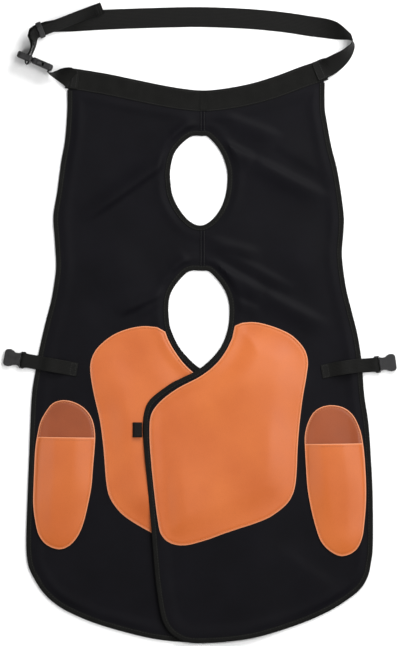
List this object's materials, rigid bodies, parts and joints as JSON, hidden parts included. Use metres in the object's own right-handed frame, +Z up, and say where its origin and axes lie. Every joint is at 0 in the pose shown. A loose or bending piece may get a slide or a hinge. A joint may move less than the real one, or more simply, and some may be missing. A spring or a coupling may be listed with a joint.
{
  "type": "farrier apron",
  "caption": "Split-leg farrier's apron lying front up, with leather knee patches and tool pockets, bound edges, oval openings, leg straps and a fastened webbing waist belt.",
  "frame": {"origin": "on the floor under the middle of the apron's outline, belt included", "axes": "+Y from the hem to the waist, +Z up out of the apron's front, +X to the right as the front is looked at"},
  "size_m": [0.6292, 1.0238, 0.0428],
  "materials": {
    "apron_cloth": "matt black brushed work cloth",
    "binding_tape": "black woven binding",
    "webbing": "black woven webbing",
    "leather": "smooth tan-orange leather",
    "plastic": "moulded satin black plastic"
  },
  "bodies": {
    "root": {"left_upper_panel": "apron_cloth", "left_leg_panel": "apron_cloth", "right_upper_panel": "apron_cloth", "right_leg_panel": "apron_cloth", "upper_seam": "apron_cloth", "lower_seam": "apron_cloth", "left_binding": "binding_tape", "right_binding": "binding_tape", "oval_binding": "binding_tape", "waistband": "binding_tape", "left_knee_patch": "leather", "right_knee_patch": "leather", "left_pocket_back": "leather", "right_pocket_back": "leather", "left_pocket_front": "leather", "right_pocket_front": "leather", "waist_belt": "webbing", "buckle_tab": "webbing", "left_leg_strap": "webbing", "right_leg_strap": "webbing", "keeper_loop": "webbing", "belt_slider": "plastic", "waist_buckle_female": "plastic", "waist_buckle_male": "plastic", "left_leg_buckle": "plastic", "right_leg_buckle": "plastic"}
  },
  "joints": []
}
